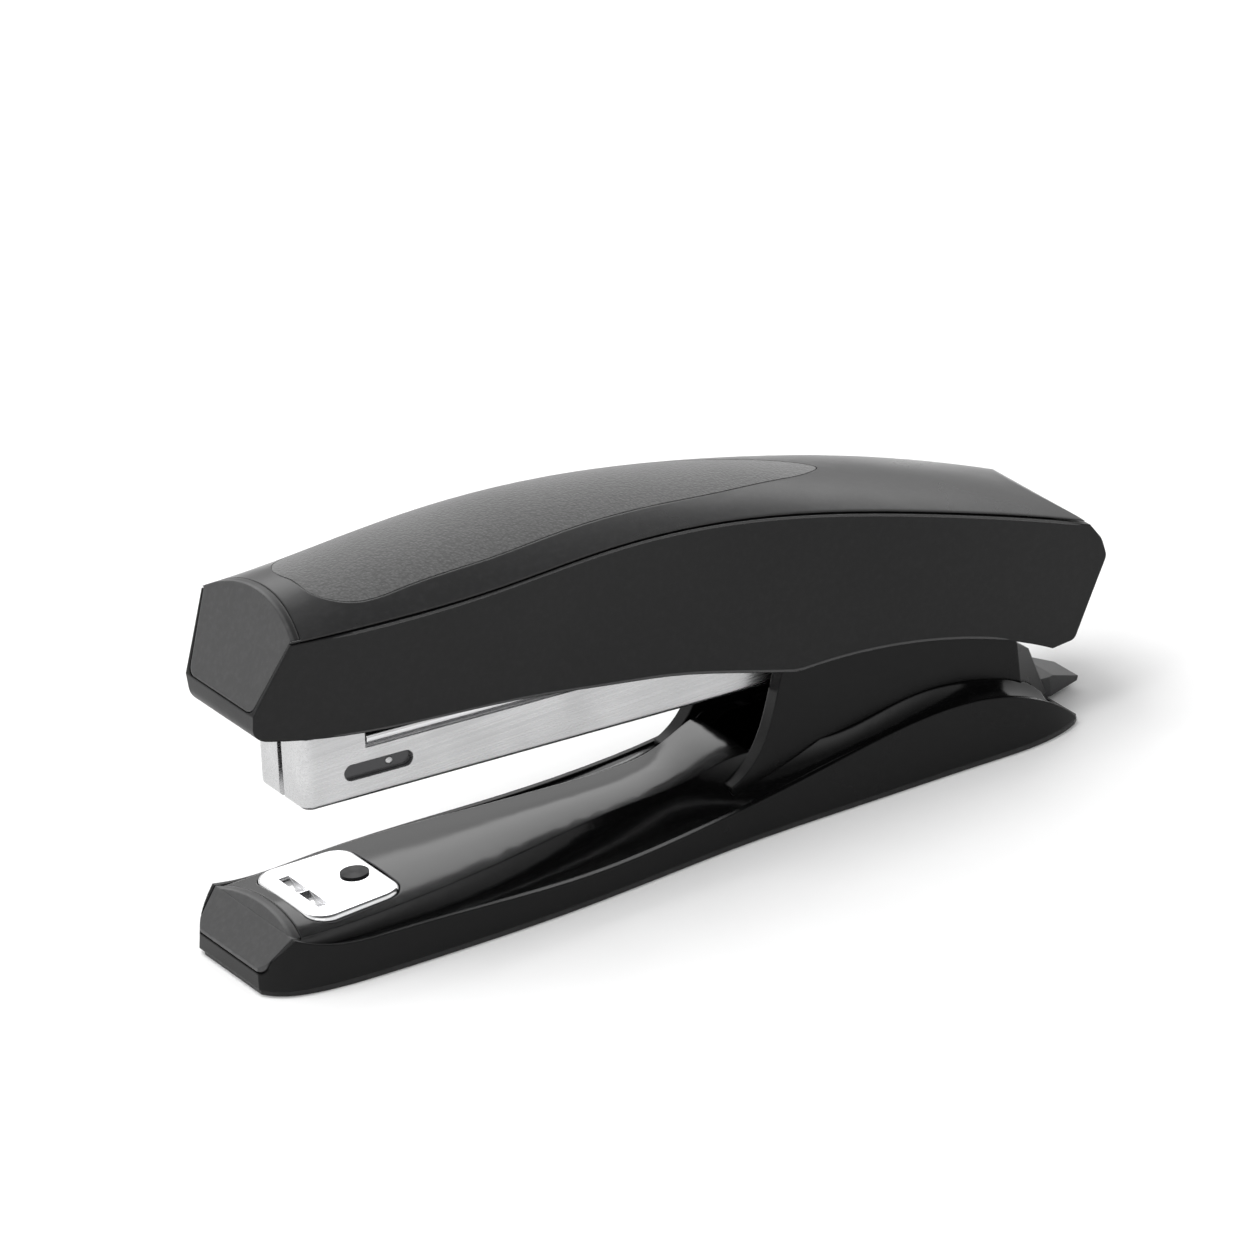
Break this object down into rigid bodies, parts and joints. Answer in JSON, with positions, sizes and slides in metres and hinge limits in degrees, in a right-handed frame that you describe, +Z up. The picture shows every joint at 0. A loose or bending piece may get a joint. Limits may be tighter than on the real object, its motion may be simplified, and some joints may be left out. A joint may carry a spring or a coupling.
{
  "type": "stapler",
  "caption": "Desktop full-strip stapler with a curved handle over a steel magazine, hinged on one pin above a long base with an anvil plate at its nose.",
  "frame": {"origin": "on the desk, under the middle of the overall box", "axes": "+X from the nose to the tail, +Z up, +Y across the width by the right-hand rule"},
  "size_m": [0.1636, 0.0382, 0.0661],
  "materials": {
    "shell_plastic": "matt black moulded plastic, fine grain",
    "deck_plastic": "satin black moulded plastic",
    "grip_rubber": "leather-grained soft grip",
    "panel_plastic": "dark grey satin plastic",
    "frame_steel": "zinc-plated sheet steel",
    "blade_steel": "hardened steel strip",
    "rivet_steel": "plated steel",
    "spring_steel": "drawn spring wire",
    "case_steel": "brushed sheet steel",
    "liner_steel": "bright rolled sheet steel",
    "staple_wire": "galvanised staple wire",
    "inner_plastic": "moulded plastic",
    "pusher_steel": "pressed steel",
    "gloss_black": "high-gloss black",
    "anvil_chrome": "polished nickel plate",
    "rivet_dark": "blackened rivet",
    "housing_plastic": "satin black moulded plastic",
    "pin_steel": "ground steel pin",
    "remover_plastic": "grey moulded plastic",
    "sole_rubber": "non-slip rubber"
  },
  "bodies": {
    "base": {"base_tray": "housing_plastic", "base_deck": "gloss_black", "base_nose_panel": "panel_plastic", "anvil_plate": "anvil_chrome", "anvil_rivet": "rivet_dark", "rear_housing": "housing_plastic", "pivot_pin": "pin_steel", "base_plate": "frame_steel", "staple_remover": "remover_plastic", "sole_pad": "sole_rubber", "base_screws": "rivet_steel", "lift_spring": "spring_steel"},
    "magazine": {"magazine_case": "case_steel", "magazine_liner": "liner_steel", "staple_rail": "case_steel", "staple_strip": "staple_wire", "guide_rod": "spring_steel", "rod_anchor": "inner_plastic", "pusher_spring": "spring_steel", "spring_seat": "frame_steel", "handle_spring": "spring_steel"},
    "pusher": {"pusher": "pusher_steel"},
    "handle": {"handle_shell": "shell_plastic", "top_deck": "deck_plastic", "grip_pad": "grip_rubber", "nose_panel": "panel_plastic", "handle_frame": "frame_steel", "driver_blade": "blade_steel", "blade_rivets": "rivet_steel", "frame_screws": "rivet_steel"}
  },
  "joints": [
    {"name": "magazine_hinge", "type": "hinge", "parent": "base", "child": "magazine", "pos_m": [0.0525, 0, 0.019], "axis": [0, -1, 0], "range_deg": [0, 8.1], "stiffness_Nm_per_rad": 0.9, "springref_deg": -20.05, "deforming": ["lift_spring"]},
    {"name": "handle_hinge", "type": "hinge", "parent": "magazine", "child": "handle", "pos_m": [0.0525, 0, 0.019], "axis": [0, -1, 0], "range_deg": [-22, 4.6], "stiffness_Nm_per_rad": 1.2, "springref_deg": -6.88, "deforming": ["handle_spring"]},
    {"name": "pusher_slide", "type": "slide", "parent": "magazine", "child": "pusher", "axis": [0.9979, 0, -0.0654], "range_m": [0, 0.034], "stiffness_N_per_m": 30, "springref_m": -0.05, "deforming": ["pusher_spring"]}
  ]
}
